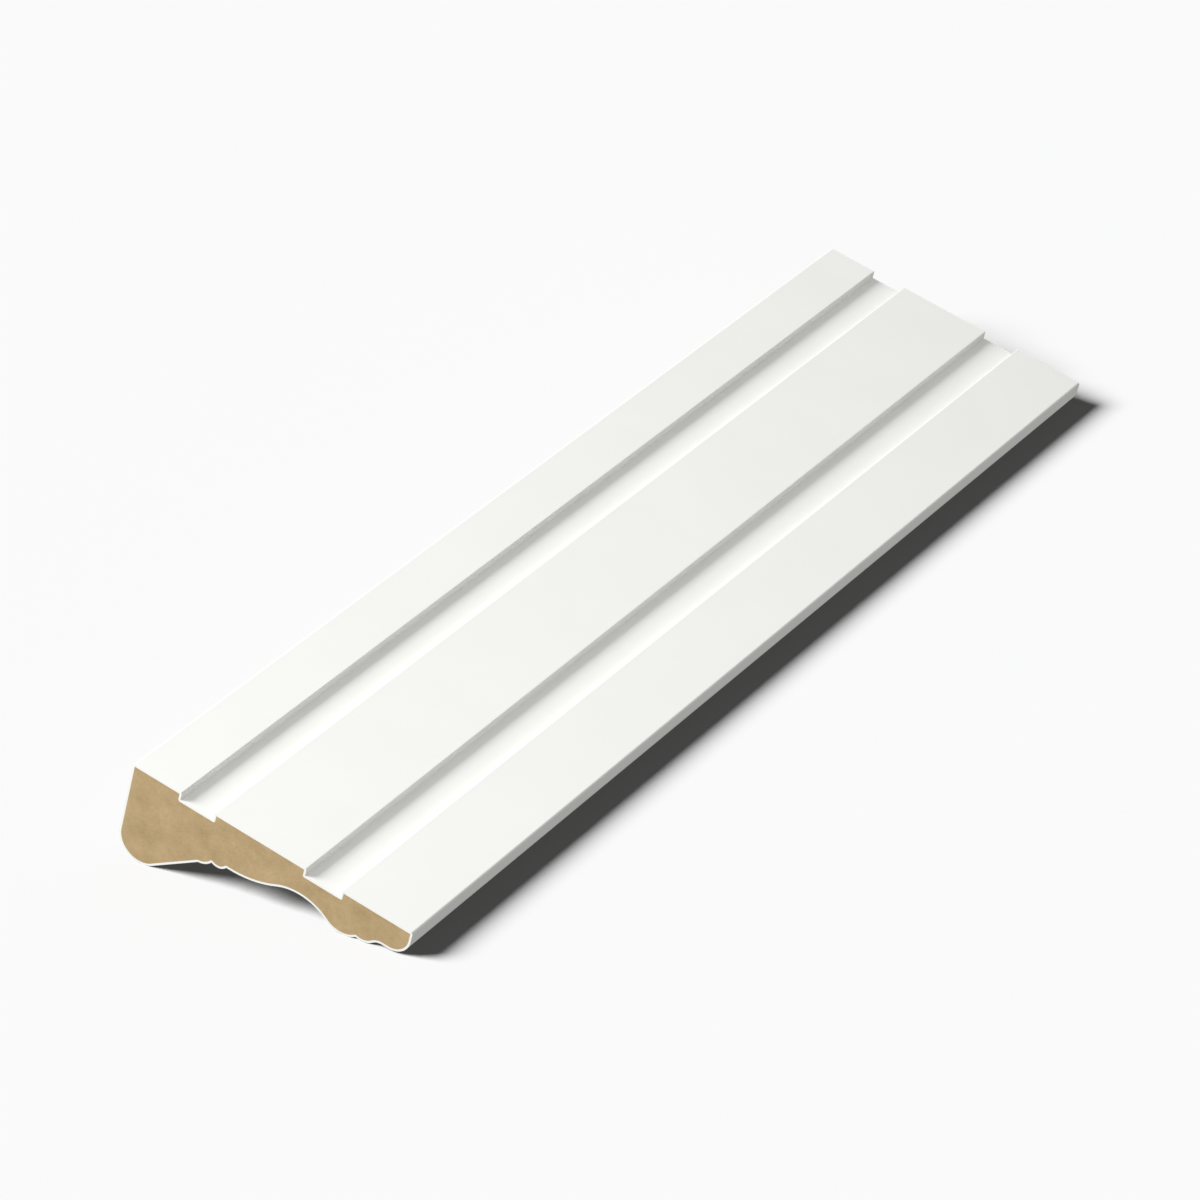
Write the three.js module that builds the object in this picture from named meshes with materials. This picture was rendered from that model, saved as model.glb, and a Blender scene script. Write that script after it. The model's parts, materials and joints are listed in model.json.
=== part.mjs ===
import * as THREE from "three";

// A length of colonial casing, the moulding that frames a door or a window.
// It is one solid stick with a primed skin, cut square at both ends.
// It lies face down on a level surface, so its back, with two relief grooves, looks up.
//
// World frame: millimetres, +Z up, the length along Y, the thick edge towards -X.
// Section frame: u runs across the back from the thick edge to the thin edge,
// and v is the depth below the back, towards the moulded face.

// Stock size
const width = 57.15;
const thickness = 18.6;
const length = 228.6;

// The back: its outer corners softened by the primer, and two relief grooves with crisper edges
const cornerRadius = 0.4;
const grooveEdgeRadius = 0.2;
const grooveDepth = 1.5;
const grooves = [
  { start: 10.1, end: 16.9 },
  { start: 35.7, end: 42.9 },
];

// The face, from the thick edge to the thin edge: a round nose and a straight slope
const noseRadius = 4.7;
const slopeAngle = THREE.MathUtils.degToRad(37.1);

// Two small beads that step down at the end of the slope, with a sharp quirk beside each
const slopeEndAcross = 15.85;
const firstQuirk = { across: 18.35, depth: 9.87 };
const secondQuirk = { across: 21.25, depth: 9.15 };
const firstBeadRadius = 3.45;
const secondBeadRadius = 2.16;

// The ogee: a wide crown that turns into a deep cove, then a rounded rib
const crownTop = { across: 21.9, depth: 9.17 };
const coveRadius = 9.86;
const coveBottom = { across: 35.6, depth: 5.74 };
const ribTop = { across: 44.1, depth: 8.43 };

// The thin side: a bead beside the rib, a small cove, a narrow fillet and a rounded edge
const edgeQuirkAcross = 47.3;
const edgeBeadAcross = 48.17;
const edgeBeadRadius = 3.3;
const filletStartAcross = 52.3;
const edgeThickness = 5.65;
const edgeRadius = 3.7;

// How many straight steps a curve takes for each quarter turn
const faceSteps = 20;
const cornerSteps = 5;

// The radius of an arc that levels out at `top` and runs smoothly into a given circle
// which bends the other way. `bend` is +1 where the circle lies beyond `top`.
function reverseCurveRadius(top, circle, bend) {
  const across = circle.across - top.across;
  const depth = bend * (circle.depth - top.depth);
  return (across ** 2 + depth ** 2 - circle.radius ** 2) / (2 * (circle.radius - depth));
}

// The centre of an arc of the given radius that bulges to greater depth between two points
function beadCentre(start, end, radius) {
  const across = end.across - start.across;
  const depth = end.depth - start.depth;
  const chord = Math.hypot(across, depth);
  const rise = Math.sqrt(radius ** 2 - (chord / 2) ** 2) / chord;
  return {
    across: (start.across + end.across) / 2 + depth * rise,
    depth: (start.depth + end.depth) / 2 - across * rise,
    radius,
  };
}

// The depth at which a circle's lower side is crossed at a place across the section
function depthOn(circle, across) {
  return circle.depth + Math.sqrt(circle.radius ** 2 - (across - circle.across) ** 2);
}

// The circles of the face
const nose = { across: noseRadius, depth: thickness - noseRadius, radius: noseRadius };
const slopeStart = {
  across: nose.across + noseRadius * Math.sin(slopeAngle),
  depth: nose.depth + noseRadius * Math.cos(slopeAngle),
};
const slopeEnd = {
  across: slopeEndAcross,
  depth: slopeStart.depth - (slopeEndAcross - slopeStart.across) * Math.tan(slopeAngle),
};
const firstBead = beadCentre(slopeEnd, firstQuirk, firstBeadRadius);
const secondBead = beadCentre(firstQuirk, secondQuirk, secondBeadRadius);
const cove = { across: coveBottom.across, depth: coveBottom.depth + coveRadius, radius: coveRadius };
const crownRadius = reverseCurveRadius(crownTop, cove, 1);
const crown = { across: crownTop.across, depth: crownTop.depth - crownRadius, radius: crownRadius };
const ribRadius = reverseCurveRadius(ribTop, cove, 1);
const rib = { across: ribTop.across, depth: ribTop.depth - ribRadius, radius: ribRadius };
const edgeQuirk = { across: edgeQuirkAcross, depth: depthOn(rib, edgeQuirkAcross) };
const edgeBead = {
  across: edgeBeadAcross,
  depth: edgeQuirk.depth - Math.sqrt(edgeBeadRadius ** 2 - (edgeBeadAcross - edgeQuirkAcross) ** 2),
  radius: edgeBeadRadius,
};
const filletStart = { across: filletStartAcross, depth: edgeThickness };
const smallCoveRadius = reverseCurveRadius(filletStart, edgeBead, -1);
const smallCove = {
  across: filletStart.across,
  depth: filletStart.depth + smallCoveRadius,
  radius: smallCoveRadius,
};
const edgeRound = { across: width - edgeRadius, depth: edgeThickness - edgeRadius, radius: edgeRadius };
const edgeStart = { across: edgeRound.across, depth: edgeThickness };
const edgeEnd = { across: width, depth: edgeRound.depth };

// A point on a circle, at the end of the line that joins its centre to another place
function pointTowards(circle, place) {
  const across = place.across - circle.across;
  const depth = place.depth - circle.depth;
  const scale = circle.radius / Math.hypot(across, depth);
  return { across: circle.across + across * scale, depth: circle.depth + depth * scale };
}

// The outline is drawn with y = -v, so the back is its top side.
const outline = [];

function addPoint(place) {
  outline.push(new THREE.Vector2(place.across, -place.depth));
}

// Adds an arc about a circle's centre between two places, the short way round
function addArc(circle, from, to, quarterSteps = faceSteps) {
  const startAngle = Math.atan2(circle.depth - from.depth, from.across - circle.across);
  const endAngle = Math.atan2(circle.depth - to.depth, to.across - circle.across);
  const turn = Math.atan2(Math.sin(endAngle - startAngle), Math.cos(endAngle - startAngle));
  const steps = Math.ceil((Math.abs(turn) / (Math.PI / 2)) * quarterSteps);
  const arc = new THREE.EllipseCurve(
    circle.across, -circle.depth, circle.radius, circle.radius,
    startAngle, startAngle + turn, turn < 0,
  );
  outline.push(...arc.getPoints(steps));
}

// Adds a softened square corner of the back, from the back down to an upright wall or up from it
function addBackCorner(wallAcross, radius, inward, goingDown) {
  const corner = { across: wallAcross + inward * radius, depth: radius, radius };
  const onBack = { across: corner.across, depth: 0 };
  const onWall = { across: wallAcross, depth: radius };
  if (goingDown) {
    addArc(corner, onBack, onWall, cornerSteps);
  } else {
    addArc(corner, onWall, onBack, cornerSteps);
  }
}

// The face, anticlockwise from the thick edge
addArc(nose, { across: 0, depth: nose.depth }, slopeStart);
addArc(firstBead, slopeEnd, firstQuirk);
addArc(secondBead, firstQuirk, secondQuirk);
addArc(crown, crownTop, pointTowards(crown, cove));
addArc(cove, pointTowards(cove, crown), pointTowards(cove, rib));
addArc(rib, pointTowards(rib, cove), edgeQuirk);
addArc(edgeBead, edgeQuirk, pointTowards(edgeBead, smallCove));
addArc(smallCove, pointTowards(smallCove, edgeBead), filletStart);
addArc(edgeRound, edgeStart, edgeEnd);

// The back, from the thin edge to the thick edge, down into each groove and out again
addBackCorner(width, cornerRadius, -1, false);
for (const groove of [...grooves].reverse()) {
  addBackCorner(groove.end, grooveEdgeRadius, 1, true);
  addPoint({ across: groove.end, depth: grooveDepth });
  addPoint({ across: groove.start, depth: grooveDepth });
  addBackCorner(groove.start, grooveEdgeRadius, -1, false);
}
addBackCorner(0, cornerRadius, 1, true);

// Neighbouring curves meet at a shared point, which is kept once
const samePlace = 1e-4;
const section = outline.filter((point, index) => {
  const next = outline[(index + 1) % outline.length];
  return point.distanceTo(next) > samePlace;
});

// The tilt at which the nose and one of the thin side's round parts touch the same floor
function tiltOnto(round) {
  const across = round.across - nose.across;
  const depth = round.depth - nose.depth;
  const reach = Math.hypot(across, depth);
  return Math.asin((nose.radius - round.radius) / reach) - Math.atan2(depth, across);
}

// The stick rocks over its nose until the first of those parts lands
const restTilt = Math.min(tiltOnto(rib), tiltOnto(edgeBead), tiltOnto(edgeRound));
const restHeight = nose.across * Math.sin(restTilt) + nose.depth * Math.cos(restTilt) + nose.radius;
const turned = section.map((point) => point.clone().rotateAround(new THREE.Vector2(), -restTilt));
const leftmost = Math.min(...turned.map((point) => point.x));
const rightmost = Math.max(...turned.map((point) => point.x));

const primedBoard = new THREE.MeshStandardMaterial({
  name: "white_primer",
  color: 0xf2f2ee,
  roughness: 0.6,
  metalness: 0,
});

const stick = new THREE.ExtrudeGeometry(new THREE.Shape(section), {
  depth: length,
  bevelEnabled: false,
});

// The section stands upright across the length, and the length is centred on the origin
const casing = new THREE.Mesh(stick, primedBoard);
casing.name = "casing";
casing.rotation.x = Math.PI / 2;
casing.position.y = length / 2;

// Tilted to its resting pose, with its lowest line on the floor and its box centred across
const restingCasing = new THREE.Group();
restingCasing.rotation.y = restTilt;
restingCasing.position.set(-(leftmost + rightmost) / 2, 0, restHeight);
restingCasing.add(casing);

const part = new THREE.Group();
part.add(restingCasing);

export default part;
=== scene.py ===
# %% [markdown]
# # A length of colonial casing
#
# Colonial casing is the moulding nailed round a door or a window. This one is fibreboard, run through a
# moulder that cuts its face and its back at one pass, primed white all round, and sawn to length. It
# lies face down, so we see its back with two relief grooves, and the brown board in the saw cut.
#
# Everything that shows belongs to one stick, so this lesson makes one piece: its section is drawn as on
# a drawing board, with straight lines and arcs, then filled and extruded to its length.

# %% Load the measured model
import json
from collections import namedtuple
from math import atan2, ceil, cos, hypot, pi, radians, sin, sqrt

import bmesh
import bpy
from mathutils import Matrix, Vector


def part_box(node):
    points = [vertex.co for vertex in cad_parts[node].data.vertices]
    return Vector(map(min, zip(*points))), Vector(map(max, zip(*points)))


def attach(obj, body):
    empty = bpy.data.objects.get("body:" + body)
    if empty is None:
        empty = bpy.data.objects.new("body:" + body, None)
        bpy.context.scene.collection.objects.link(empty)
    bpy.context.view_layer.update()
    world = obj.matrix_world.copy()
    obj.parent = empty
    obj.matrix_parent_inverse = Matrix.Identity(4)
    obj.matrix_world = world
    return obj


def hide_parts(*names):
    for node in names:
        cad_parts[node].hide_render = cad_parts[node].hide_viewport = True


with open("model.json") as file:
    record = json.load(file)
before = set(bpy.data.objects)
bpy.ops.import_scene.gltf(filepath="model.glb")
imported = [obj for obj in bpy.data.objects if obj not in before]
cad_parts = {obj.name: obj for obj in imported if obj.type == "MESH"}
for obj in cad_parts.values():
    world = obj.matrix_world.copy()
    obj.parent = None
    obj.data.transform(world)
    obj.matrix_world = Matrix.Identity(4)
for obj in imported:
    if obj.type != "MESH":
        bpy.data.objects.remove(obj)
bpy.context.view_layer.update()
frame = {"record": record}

mm = 0.001

# %% [markdown]
# ## The sizes of the section
#
# A moulding is drawn by its circles. `across` runs along the back from the thick edge to the thin edge
# and `depth` goes from the back towards the moulded face. A few sizes of each curve are chosen, and the
# rest follow, because one curve has to run into the next without a step.

# %% The stock and its back
width = 57.15 * mm
thickness = 18.6 * mm
corner_radius = 0.4 * mm
groove_edge_radius = 0.2 * mm
groove_depth = 1.5 * mm
first_groove = (10.1 * mm, 16.9 * mm)
second_groove = (35.7 * mm, 42.9 * mm)

Circle = namedtuple("Circle", "across depth radius")
Place = namedtuple("Place", "across depth")
groove_widths = [round((end - start) / mm, 2) for start, end in (first_groove, second_groove)]
print("stock", round(width / mm, 2), "by", round(thickness / mm, 2), "mm, grooves", groove_widths, "mm wide")

# %% [markdown]
# ## The nose, the slope and the two step beads
#
# The thick edge ends in a round nose. A straight slope leaves the nose as a tangent and stops at the
# first of two small beads. Each bead is an arc of known radius between two sharp inner corners, which a
# joiner calls quirks, so its centre is worked out from those two places.

# %% The thick side of the face
nose_radius = 4.7 * mm
slope_angle = radians(37.1)
nose = Circle(nose_radius, thickness - nose_radius, nose_radius)
slope_start_across = nose.across + nose_radius * sin(slope_angle)
slope_start = Place(slope_start_across, nose.depth + nose_radius * cos(slope_angle))

slope_end_across = 15.85 * mm
slope_fall = (slope_end_across - slope_start.across) * sin(slope_angle) / cos(slope_angle)
slope_end = Place(slope_end_across, slope_start.depth - slope_fall)
first_quirk = Place(18.35 * mm, 9.87 * mm)
second_quirk = Place(21.25 * mm, 9.15 * mm)
first_bead_radius = 3.45 * mm
second_bead_radius = 2.16 * mm


def bead_between(start, end, radius):
    """The circle of a bead of that radius which bulges towards the face between two places."""
    across = end.across - start.across
    depth = end.depth - start.depth
    chord = hypot(across, depth)
    rise = sqrt(radius**2 - (chord / 2) ** 2) / chord
    middle = Place((start.across + end.across) / 2, (start.depth + end.depth) / 2)
    return Circle(middle.across + depth * rise, middle.depth - across * rise, radius)


first_bead = bead_between(slope_end, first_quirk, first_bead_radius)
second_bead = bead_between(first_quirk, second_quirk, second_bead_radius)
print("slope ends at depth", round(slope_end.depth / mm, 2), "mm")

# %% [markdown]
# ## The ogee and the rib
#
# A wide crown turns into a deep cove, and the cove turns into a rounded rib. Where two arcs that bend
# opposite ways touch, their centres are exactly their two radii apart. That gives the radius of the
# crown, of the rib and, further on, of the small cove.

# %% The reverse curves
crown_top = Place(21.9 * mm, 9.17 * mm)
cove_radius = 9.86 * mm
cove_bottom = Place(35.6 * mm, 5.74 * mm)
rib_top = Place(44.1 * mm, 8.43 * mm)


def radius_into(top, circle, bend=1):
    """The radius of an arc that levels out at `top` and runs smoothly into the circle."""
    across = circle.across - top.across
    depth = bend * (circle.depth - top.depth)
    return (across**2 + depth**2 - circle.radius**2) / (2 * (circle.radius - depth))


cove = Circle(cove_bottom.across, cove_bottom.depth + cove_radius, cove_radius)
crown_radius = radius_into(crown_top, cove)
crown = Circle(crown_top.across, crown_top.depth - crown_radius, crown_radius)
rib_radius = radius_into(rib_top, cove)
rib = Circle(rib_top.across, rib_top.depth - rib_radius, rib_radius)
print("crown radius", round(crown_radius / mm, 2), "mm, rib radius", round(rib_radius / mm, 2), "mm")

# %% [markdown]
# ## The thin side
#
# Beside the rib stand a bead, a small cove and a narrow flat fillet, and a quarter round makes the thin
# edge, the one that sits next to the door.

# %% The bead, the small cove and the thin edge
edge_quirk_across = 47.3 * mm
edge_bead_across = 48.17 * mm
edge_bead_radius = 3.3 * mm
fillet_start_across = 52.3 * mm
edge_thickness = 5.65 * mm
edge_radius = 3.7 * mm

edge_quirk_drop = sqrt(rib.radius**2 - (edge_quirk_across - rib.across) ** 2)
edge_quirk = Place(edge_quirk_across, rib.depth + edge_quirk_drop)
edge_bead_rise = sqrt(edge_bead_radius**2 - (edge_bead_across - edge_quirk_across) ** 2)
edge_bead = Circle(edge_bead_across, edge_quirk.depth - edge_bead_rise, edge_bead_radius)
fillet_start = Place(fillet_start_across, edge_thickness)
small_cove_radius = radius_into(fillet_start, edge_bead, bend=-1)
small_cove = Circle(fillet_start_across, edge_thickness + small_cove_radius, small_cove_radius)
edge_round = Circle(width - edge_radius, edge_thickness - edge_radius, edge_radius)
print("small cove radius", round(small_cove_radius / mm, 2), "mm")

# %% [markdown]
# ## A pen for the outline
#
# The outline is drawn with a pen that is one selected vertex. Extruding the vertex draws a straight
# line, and spinning it about a centre draws an arc, in short steps that all lie on the true circle.
#
# The same outline is drawn twice: once as the primer's surface, and once as the board below it. The
# board's line runs parallel to the surface, `skin` deeper. An arc is told only its centre and its turn,
# because the place of the pen sets the radius. So the board's line takes a smaller radius on a bulge and
# a larger one in a hollow by itself, and makes a small round about the point of a quirk.

# %% The pen
def spot(place):
    """A place of the section as a point of the drawing, which stands upright at y = 0."""
    return Vector((place.across, 0, -place.depth))


def pen_point():
    """Where the pen is: the one selected vertex."""
    drawing = bmesh.from_edit_mesh(bpy.context.edit_object.data)
    return next(vertex.co.copy() for vertex in drawing.verts if vertex.select)


def put_pen_down(name, start):
    """A new drawing that holds only the pen, at its first place, in edit mode."""
    bpy.ops.object.select_all(action="DESELECT")
    bpy.ops.mesh.primitive_plane_add(size=mm)
    bpy.context.object.name = name
    bpy.ops.object.mode_set(mode="EDIT")
    bpy.ops.mesh.merge(type="CENTER")
    bpy.ops.transform.translate(value=start)


# %% Pen strokes
face_step = radians(3)
corner_step = radians(15)
holding = 0.06 * mm
weld = holding / 20
print("steps in a quarter round:", round(pi / 2 / face_step), "and weld:", round(weld / mm, 4), "mm")


def line_to(end):
    """Draws a straight line, with a holding vertex close to each end.

    The holding vertices keep a flat face flat when it is shaded smooth beside a curve."""
    start = pen_point()
    along = (end - start).normalized() * holding
    for stop in (start + along, end - along, end):
        bpy.ops.mesh.extrude_region_move(TRANSFORM_OT_translate={"value": stop - pen_point()})


def arc(centre, turn, step):
    """Draws an arc about a centre. A positive turn is anticlockwise as the saw cut is looked at."""
    steps = max(2, ceil(abs(turn) / step))
    bpy.ops.mesh.spin(steps=steps, angle=turn, center=centre, axis=(0, 1, 0))


def heading(circle, place):
    """The direction from a circle's centre to a place, anticlockwise from straight across."""
    return atan2(circle.depth - place.depth, place.across - circle.across)


# %% [markdown]
# ## The two outlines
#
# The pen starts on the thick edge, goes down round the nose, along the whole face, up the thin edge and
# home over the back, down into each groove and out again. At an inner corner, such as a quirk or the
# bottom corner of a groove, the board's line swings round that corner. The board could be an inset of
# the surface instead, but an inset folds over itself where an edge is rounded tighter than the skin is
# thick, as the top edges of the grooves are.

# %% Strokes that know how deep below the surface they run
down, right, up = -pi / 2, 0, pi / 2


def curve(circle, start_heading, end_heading):
    """Draws a curved part of the face, about the centre of its circle."""
    arc(spot(circle), end_heading - start_heading, face_step)


def swing(place, turn, skin):
    """Takes the board's outline round a sharp inner corner. The primer's surface has the corner itself."""
    if skin > 0:
        arc(spot(place), turn, corner_step)


def soften(across, radius, skin):
    """Rounds a corner of the back. Below a skin as thick as its radius, the corner is sharp."""
    if radius > skin:
        arc(Vector((across, 0, -radius)), pi / 2, corner_step)


# %% The face, in two halves
def draw_thick_side(skin):
    """Draws from the nose over the slope and both step beads to the top of the crown."""
    slope_heading = down + slope_angle
    into_slope = Vector((-sin(slope_angle), 0, cos(slope_angle))) * skin
    first_start = heading(first_bead, slope_end)
    first_end = heading(first_bead, first_quirk)
    second_start = heading(second_bead, first_quirk)
    second_end = heading(second_bead, second_quirk)
    line_to(Vector((skin, 0, -nose.depth)))
    curve(nose, -pi, slope_heading)
    line_to(spot(slope_end) + into_slope)
    swing(slope_end, first_start - slope_heading, skin)
    curve(first_bead, first_start, first_end)
    swing(first_quirk, second_start - first_end, skin)
    curve(second_bead, second_start, second_end)
    swing(second_quirk, down - second_end, skin)
    line_to(spot(crown_top) + Vector((0, 0, skin)))


def draw_thin_side(skin):
    """Draws from the crown through the cove, the rib, the bead and the fillet up the thin edge."""
    rib_end = heading(rib, edge_quirk)
    bead_start = heading(edge_bead, edge_quirk)
    curve(crown, down, heading(crown, cove))
    curve(cove, heading(cove, crown), heading(cove, rib))
    curve(rib, heading(rib, cove), rib_end)
    swing(edge_quirk, bead_start - rib_end, skin)
    curve(edge_bead, bead_start, heading(edge_bead, small_cove))
    curve(small_cove, heading(small_cove, edge_bead), up)
    line_to(Vector((edge_round.across, 0, skin - edge_thickness)))
    curve(edge_round, down, right)
    line_to(Vector((width - skin, 0, -max(corner_radius, skin))))


# %% The back
def draw_back(skin):
    """Draws the back from the thin edge to the thick edge, with its two grooves."""
    edge_inset = max(groove_edge_radius, skin)
    soften(width - corner_radius, corner_radius, skin)
    for start, end in (second_groove, first_groove):
        line_to(Vector((end + edge_inset, 0, -skin)))
        soften(end + groove_edge_radius, groove_edge_radius, skin)
        line_to(Vector((end + skin, 0, -groove_depth)))
        swing(Place(end, groove_depth), -pi / 2, skin)
        line_to(Vector((start, 0, -groove_depth - skin)))
        swing(Place(start, groove_depth), -pi / 2, skin)
        line_to(Vector((start - skin, 0, -edge_inset)))
        soften(start - groove_edge_radius, groove_edge_radius, skin)
    line_to(Vector((max(corner_radius, skin), 0, -skin)))
    soften(corner_radius, corner_radius, skin)


# %% Draw the primer's surface and the board below it
def draw_section(name, skin):
    """Draws the closed outline that runs `skin` below the primer's surface."""
    put_pen_down(name, (skin, 0, -max(corner_radius, skin)))
    draw_thick_side(skin)
    draw_thin_side(skin)
    draw_back(skin)
    bpy.ops.mesh.select_all(action="SELECT")
    bpy.ops.mesh.remove_doubles(threshold=weld)
    bpy.ops.object.mode_set(mode="OBJECT")
    drawing = bpy.context.object
    print(name, "has", len(drawing.data.vertices), "vertices and", len(drawing.data.edges), "edges")
    return drawing


primer_skin = 0.4 * mm
surface = draw_section("casing_stick", 0)
board = draw_section("board", primer_skin)

# %% [markdown]
# ## From the drawing to the stick
#
# The saw cut shows two things: brown board, and round it a thin white line, which is the cut edge of the
# primer. The line could be a stripe in a material, but a real ring of faces stays crisp in every view. So
# the board's outline is filled with one face, and the gap between it and the surface with the ring.

# %% Fill the section
primer = bpy.data.materials.new("flat_white_primer")
bare_board = bpy.data.materials.new("sawn_fibreboard")
surface.data.materials.append(primer)
board.data.materials.append(bare_board)


def edit_alone(piece):
    """Selects one object alone and opens it in edit mode."""
    bpy.ops.object.select_all(action="DESELECT")
    piece.select_set(True)
    bpy.context.view_layer.objects.active = piece
    bpy.ops.object.mode_set(mode="EDIT")


edit_alone(board)
bpy.ops.mesh.select_all(action="SELECT")
bpy.ops.mesh.edge_face_add()
bpy.ops.object.mode_set(mode="OBJECT")
surface.select_set(True)
bpy.context.view_layer.objects.active = surface
bpy.ops.object.join()
stick = bpy.context.object

edit_alone(stick)
bpy.ops.mesh.select_mode(type="EDGE")
bpy.ops.mesh.select_all(action="DESELECT")
bpy.ops.mesh.select_non_manifold()
bpy.ops.mesh.fill()
bpy.ops.object.mode_set(mode="OBJECT")
for index, finish in enumerate(stick.data.materials):
    area = sum(face.area for face in stick.data.polygons if face.material_index == index)
    print(finish.name, "covers", round(area / mm**2, 1), "square mm of the saw cut")

# %% [markdown]
# The section is the same all along a moulding, because the moulder pushes the board past knives that stay
# where they are. One extrusion does the same. The walls that it leaves take their finish from the ring, so
# the skin comes out white. Walls that meet at less than the given angle are shaded smooth, and the quirks
# stay sharp.

# %% Extrude it to its length
cad_low, cad_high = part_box("casing")
length = cad_high.y - cad_low.y
edit_alone(stick)
bpy.ops.mesh.select_all(action="SELECT")
bpy.ops.mesh.extrude_region_move(TRANSFORM_OT_translate={"value": (0, length, 0)})
bpy.ops.mesh.select_all(action="SELECT")
bpy.ops.mesh.normals_make_consistent(inside=False)
bpy.ops.mesh.select_all(action="DESELECT")
bpy.ops.mesh.select_non_manifold()
bpy.ops.object.mode_set(mode="OBJECT")
print("open edges:", sum(edge.select for edge in stick.data.edges), "faces:", len(stick.data.polygons))
smooth_below = radians(20)
bpy.ops.object.shade_smooth_by_angle(angle=smooth_below)

# %% [markdown]
# ## Laying it down
#
# The stick was drawn with its back level. Set down on its face, it rocks over the round nose until the
# rib touches too, and its back leans towards the thin edge. The measured model says how far: its middle
# land has a direction and a place, so the stick is turned and moved to match them. Then the turn and the
# move are applied, so that the object sits at the origin and the place is in its mesh. Last, the stick is
# hung on the body it rides on, and the measured piece that it stands for is hidden.

# %% Turn it to rest
middle_land = next(mount for mount in frame["record"]["mounts"] if mount["name"] == "back_middle")
facing = Vector(middle_land["axis"])
stick.rotation_euler = (0, atan2(facing.x, facing.z), 0)
bpy.context.view_layer.update()
land_across = (first_groove[1] + second_groove[0]) / 2
drawn_land = stick.matrix_world @ Vector((land_across, 0, 0))
stick.location = Vector(middle_land["pos_m"]) - drawn_land
stick.location.y = cad_low.y
edit_alone(stick)
bpy.ops.object.mode_set(mode="OBJECT")
bpy.ops.object.transform_apply(location=True, rotation=True, scale=True)
places = [vertex.co for vertex in stick.data.vertices]
for axis in range(3):
    low = min(place[axis] for place in places) - cad_low[axis]
    high = max(place[axis] for place in places) - cad_high[axis]
    print("off the CAD box along", "XYZ"[axis], "by", round(low / mm, 4), round(high / mm, 4), "mm")

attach(stick, "root")
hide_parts("casing")

# %% [markdown]
# ## Node helpers
#
# A finish could be a picture wrapped round the stick, but then its grain would blur up close. Both finishes
# here are built from noise in object coordinates, so they are sharp at any size, and one millimetre of
# pattern is one millimetre of stick.

# %% Start a finish
def fresh_shader(material):
    """Clears a material's nodes, and returns the one shader that takes their place."""
    material.use_nodes = True
    tree = material.node_tree
    tree.nodes.clear()
    output = tree.nodes.new("ShaderNodeOutputMaterial")
    shader = tree.nodes.new("ShaderNodeBsdfPrincipled")
    tree.links.new(shader.outputs["BSDF"], output.inputs["Surface"])
    return shader


# %% Noise at the scale of the stick
def noise(tree, grain, detail=2, roughness=0.5, stretch=(1, 1, 1)):
    """Noise whose blotches are about `grain` metres across, longer by `stretch` along each axis."""
    coordinates = tree.nodes.new("ShaderNodeTexCoord")
    mapping = tree.nodes.new("ShaderNodeMapping")
    mapping.inputs["Scale"].default_value = [1 / (grain * longer) for longer in stretch]
    texture = tree.nodes.new("ShaderNodeTexNoise")
    texture.inputs["Scale"].default_value = 1
    texture.inputs["Detail"].default_value = detail
    texture.inputs["Roughness"].default_value = roughness
    tree.links.new(coordinates.outputs["Object"], mapping.inputs["Vector"])
    tree.links.new(mapping.outputs["Vector"], texture.inputs["Vector"])
    return texture.outputs["Fac"]


# %% From noise to a colour, a value or a relief
noise_low, noise_high = 0.3, 0.7


def ramp(tree, factor, low, high, low_colour, high_colour):
    """Turns a factor between low and high into a colour between two."""
    node = tree.nodes.new("ShaderNodeValToRGB")
    first, last = node.color_ramp.elements
    first.position, last.position = low, high
    first.color, last.color = (*low_colour, 1), (*high_colour, 1)
    tree.links.new(factor, node.inputs["Fac"])
    return node.outputs["Color"]


def spread(tree, factor, low, high):
    """Stretches noise, most of which is between noise_low and noise_high, to go from low to high."""
    node = tree.nodes.new("ShaderNodeMapRange")
    node.inputs["From Min"].default_value = noise_low
    node.inputs["From Max"].default_value = noise_high
    node.inputs["To Min"].default_value = low
    node.inputs["To Max"].default_value = high
    tree.links.new(factor, node.inputs["Value"])
    return node.outputs["Result"]


def bump(tree, height, depth, below=None):
    """A normal that a height map of that depth gives, on top of another normal."""
    node = tree.nodes.new("ShaderNodeBump")
    node.inputs["Strength"].default_value = 1
    node.inputs["Distance"].default_value = depth
    tree.links.new(height, node.inputs["Height"])
    if below:
        tree.links.new(below, node.inputs["Normal"])
    return node.outputs["Normal"]


# %% [markdown]
# ## White primer
#
# Primer for trim is a flat white with a drop of yellow. It is laid on as a liquid, so it settles into
# a faint stipple, keeps a dusty tooth for the paint to grip, and dries a little uneven in gloss. The
# knives of the moulder leave hair lines along the stick that show through it only when light grazes.
#
# One flat colour would look like plastic. So a broad noise shifts the tone and the gloss a little, and
# three finer ones make the relief, each a few thousandths of a millimetre deep at most. A low specular
# level keeps it chalky where it faces away from the soft box, as a flat primer is.

# %% Make the primer
primer_light = (0.885, 0.885, 0.853)
primer_dull = (0.875, 0.875, 0.842)
primer_roughness = (0.62, 0.7)
primer_cloud = 14 * mm
stipple_size, stipple_depth = 0.9 * mm, 0.0025 * mm
tooth_size, tooth_depth = 0.3 * mm, 0.0006 * mm
knife_line_size, knife_line_depth = 0.35 * mm, 0.0006 * mm
knife_line_stretch = (1, 140, 1)
shader = fresh_shader(primer)
tree = primer.node_tree
cloud = noise(tree, primer_cloud, detail=3)
stipple = noise(tree, stipple_size)
tooth = noise(tree, tooth_size)
knife_lines = noise(tree, knife_line_size, stretch=knife_line_stretch)
tone = ramp(tree, cloud, low=0.35, high=0.65, low_colour=primer_dull, high_colour=primer_light)
tree.links.new(tone, shader.inputs["Base Color"])
tree.links.new(spread(tree, cloud, *primer_roughness), shader.inputs["Roughness"])
relief = bump(tree, knife_lines, knife_line_depth)
relief = bump(tree, stipple, stipple_depth, relief)
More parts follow.
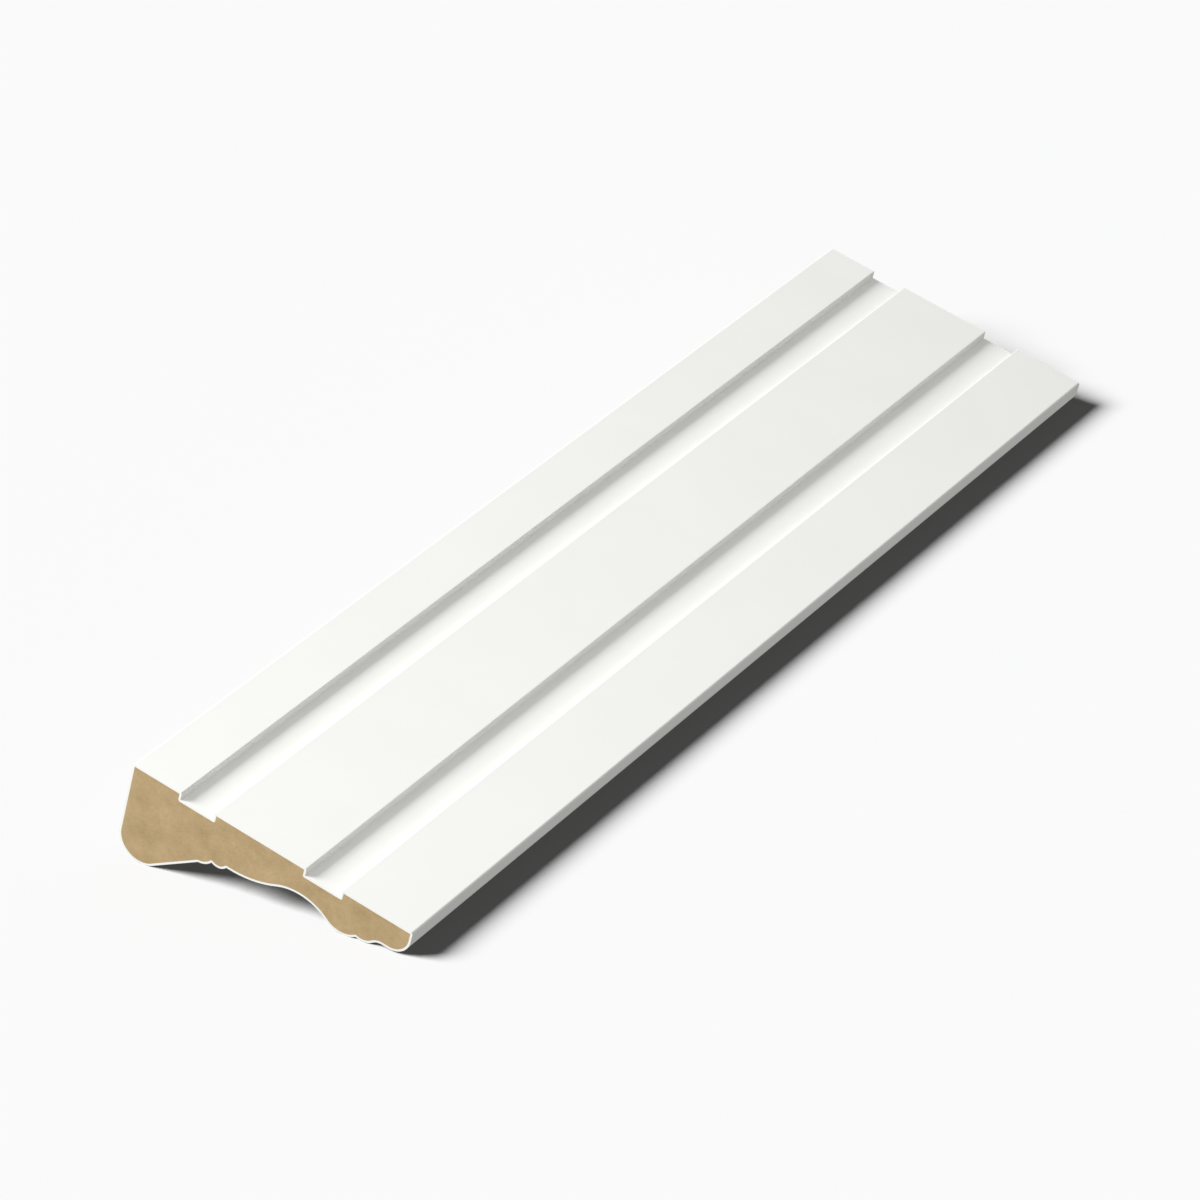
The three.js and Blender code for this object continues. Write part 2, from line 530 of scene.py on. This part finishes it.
relief = bump(tree, tooth, tooth_depth, relief)
tree.links.new(relief, shader.inputs["Normal"])
shader.inputs["IOR"].default_value = 1.45
shader.inputs["Specular IOR Level"].default_value = 0.2
print(primer.name, "is made of", len(tree.nodes), "nodes, its roughness is between", primer_roughness)

# %% [markdown]
# ## Bare fibreboard
#
# The saw cut shows wood fibres pressed with resin: an even warm brown with soft clouds a few
# millimetres across, and a fine grain of fibre ends. The fibres lie flat in the panel, so the grain is
# a little longer across the stick than it is deep. It is dead flat, with almost no gloss.
#
# The clouds and the grain are two noises, multiplied together, because a dark fibre darkens a light cloud
# and a dark one by the same share.

# %% Make the fibreboard
board_dark = (0.43, 0.309, 0.156)
board_light = (0.566, 0.418, 0.233)
grain_dark = (0.86, 0.85, 0.83)
grain_light = (1, 1, 1)
board_cloud = 4.4 * mm
fibre_size, fibre_depth = 0.22 * mm, 0.02 * mm
fibre_stretch = (1.8, 1, 1)
shader = fresh_shader(bare_board)
tree = bare_board.node_tree
clouds = noise(tree, board_cloud, detail=6, roughness=0.57)
fibres = noise(tree, fibre_size, detail=3, roughness=0.6, stretch=fibre_stretch)
cloud_colour = ramp(tree, clouds, low=0.28, high=0.72, low_colour=board_dark, high_colour=board_light)
fibre_colour = ramp(tree, fibres, noise_low, noise_high, grain_dark, grain_light)
mix = tree.nodes.new("ShaderNodeMix")
mix.data_type = "RGBA"
mix.blend_type = "MULTIPLY"
mix.inputs["Factor"].default_value = 1
tree.links.new(cloud_colour, mix.inputs["A"])
tree.links.new(fibre_colour, mix.inputs["B"])
tree.links.new(mix.outputs["Result"], shader.inputs["Base Color"])
tree.links.new(bump(tree, fibres, fibre_depth), shader.inputs["Normal"])
shader.inputs["Roughness"].default_value = 0.95
shader.inputs["Specular IOR Level"].default_value = 0.2
print(bare_board.name, "is made of", len(tree.nodes), "nodes")

# %% [markdown]
# ## The floor
#
# The stick lies on a plain pale sheet, wide enough to fill the view. The sheet is seen and takes the
# shadow, but it sends no light back up: the evenly lit sky does that, so the thin edge and the face
# underneath are lit from below as softly as in a studio tent. The sheet itself is a dark grey that a
# strong lamp of its own makes nearly white, so the shadow beside the thin edge stays deep.

# %% Lay the sheet
def only_seen(stage_piece):
    """Lets the camera see a piece of the stage, but keeps it out of the light on the stick."""
    stage_piece.visible_diffuse = False
    stage_piece.visible_glossy = False
    stage_piece.visible_shadow = False


floor_size = 8
sheet_grey = (0.15, 0.15, 0.15, 1)
bpy.ops.object.select_all(action="DESELECT")
bpy.ops.mesh.primitive_plane_add(size=floor_size, location=(0, 0, 0))
floor = bpy.context.object
floor.name = "floor"
white_sheet = bpy.data.materials.new("white_sheet")
shader = fresh_shader(white_sheet)
shader.inputs["Base Color"].default_value = sheet_grey
shader.inputs["Roughness"].default_value = 1
shader.inputs["Specular IOR Level"].default_value = 0
floor.data.materials.append(white_sheet)
only_seen(floor)
print(floor.name, "is", floor_size, "m wide")

# %% [markdown]
# From low down, the view runs past the end of the sheet. So a wide dome stands over it all as a backdrop,
# and glows as white as the sheet looks under its lamp. It too is only seen, and lights nothing.

# %% Stand the backdrop
sheet_brightness = 0.955
dome_radius = floor_size / 2
bpy.ops.object.select_all(action="DESELECT")
bpy.ops.mesh.primitive_uv_sphere_add(segments=64, ring_count=32, radius=dome_radius, location=(0, 0, 0))
backdrop = bpy.context.object
backdrop.name = "backdrop"
glow = bpy.data.materials.new("even_backdrop")
shader = fresh_shader(glow)
shader.inputs["Base Color"].default_value = (0, 0, 0, 1)
shader.inputs["Specular IOR Level"].default_value = 0
shader.inputs["Emission Color"].default_value = (1, 1, 1, 1)
shader.inputs["Emission Strength"].default_value = sheet_brightness
glow.cycles.emission_sampling = "NONE"
backdrop.data.materials.append(glow)
only_seen(backdrop)
print(backdrop.name, "stands", dome_radius, "m away on every side")

# %% [markdown]
# ## Light
#
# A large round soft box, high on the left and about level with the near end, makes the shading. It is
# far enough away for its light to fall off only gently along the stick, and wide enough to give the
# grooves shadows with soft edges. A broad panel above and in front of the near end lifts the back and
# the saw cut, and an even white sky fills the rest. The Standard view shows the colours as they are, so
# white stays white.

# %% Hang the soft box, the panel and the sky
lit_corner = Vector((cad_low.x, cad_low.y, cad_high.z))


def hang_light(name, direction, distance, size, power, shape):
    """Hangs an area light in a direction from the near end of the thick edge, and aims it back there."""
    toward = Vector(direction).normalized()
    bpy.ops.object.light_add(type="AREA", location=lit_corner + toward * distance)
    light = bpy.context.object
    light.name = name
    light.data.shape = shape
    light.data.size = size
    light.data.energy = power
    light.rotation_euler = toward.to_track_quat("Z", "Y").to_euler()
    print(name, "of", size, "m hangs", distance, "m away, at", power, "watts")
    return light


soft_box_direction = (-0.614, -0.479, 0.646)
panel_direction = (0.2, -0.55, 0.81)
soft_box = hang_light("soft_box", soft_box_direction, distance=1.35, size=0.72, power=23.9, shape="DISK")
panel = hang_light("panel", panel_direction, distance=0.95, size=0.9, power=1.92, shape="SQUARE")

sky_strength = 0.4
world = bpy.data.worlds.new("even_sky")
world.use_nodes = True
sky = world.node_tree.nodes["Background"]
sky.inputs["Color"].default_value = (1, 1, 1, 1)
sky.inputs["Strength"].default_value = sky_strength
bpy.context.scene.world = world
bpy.context.scene.view_settings.view_transform = "Standard"
print(world.name, "shines at", sky_strength)

# %% [markdown]
# The sheet has to be one even white from corner to corner, which a lamp at arm's length can't give. So it
# has a lamp of its own, as far away as the sun. That lamp shines from the soft box's direction and looks
# as wide, so the stick's shadow on the sheet is much like the one that the soft box would throw. Each
# light is linked to what it is meant for: the sheet lamp to the sheet, the other two to the stick.

# %% Light the sheet evenly
sheet_lamp_strength = 29.4
bpy.ops.object.light_add(type="SUN", location=soft_box.location)
sheet_lamp = bpy.context.object
sheet_lamp.name = "sheet_lamp"
sheet_lamp.rotation_euler = soft_box.rotation_euler
sheet_lamp.data.energy = sheet_lamp_strength
sheet_lamp.data.angle = 2 * atan2(soft_box.data.size / 2, (soft_box.location - lit_corner).length)
for lit, lights in ((floor, [sheet_lamp]), (stick, [soft_box, panel])):
    only = bpy.data.collections.new("lit_" + lit.name)
    only.objects.link(lit)
    for light in lights:
        light.light_linking.receiver_collection = only
        print(light.name, "lights the", lit.name, "alone")

# %% [markdown]
# ## The camera
#
# The picture was taken with a long lens from about a metre away, above and to the right of the near end.
# The four corners of the back and the edges of the grooves fix that view.

# %% Set the camera
azimuth = radians(32.27)
elevation = radians(29.6)
camera_distance = 1.0164
camera_lens = 172.5
aim = Vector((1.39 * mm, -12.97 * mm, 10 * mm))
away = Vector((sin(azimuth) * cos(elevation), -cos(azimuth) * cos(elevation), sin(elevation)))
bpy.ops.object.camera_add(location=aim + away * camera_distance)
camera = bpy.context.object
camera.rotation_euler = away.to_track_quat("Z", "Y").to_euler()
camera.data.lens = camera_lens
camera.data.clip_start = 0.05
bpy.context.scene.camera = camera
print("camera at", [round(side, 3) for side in camera.location])
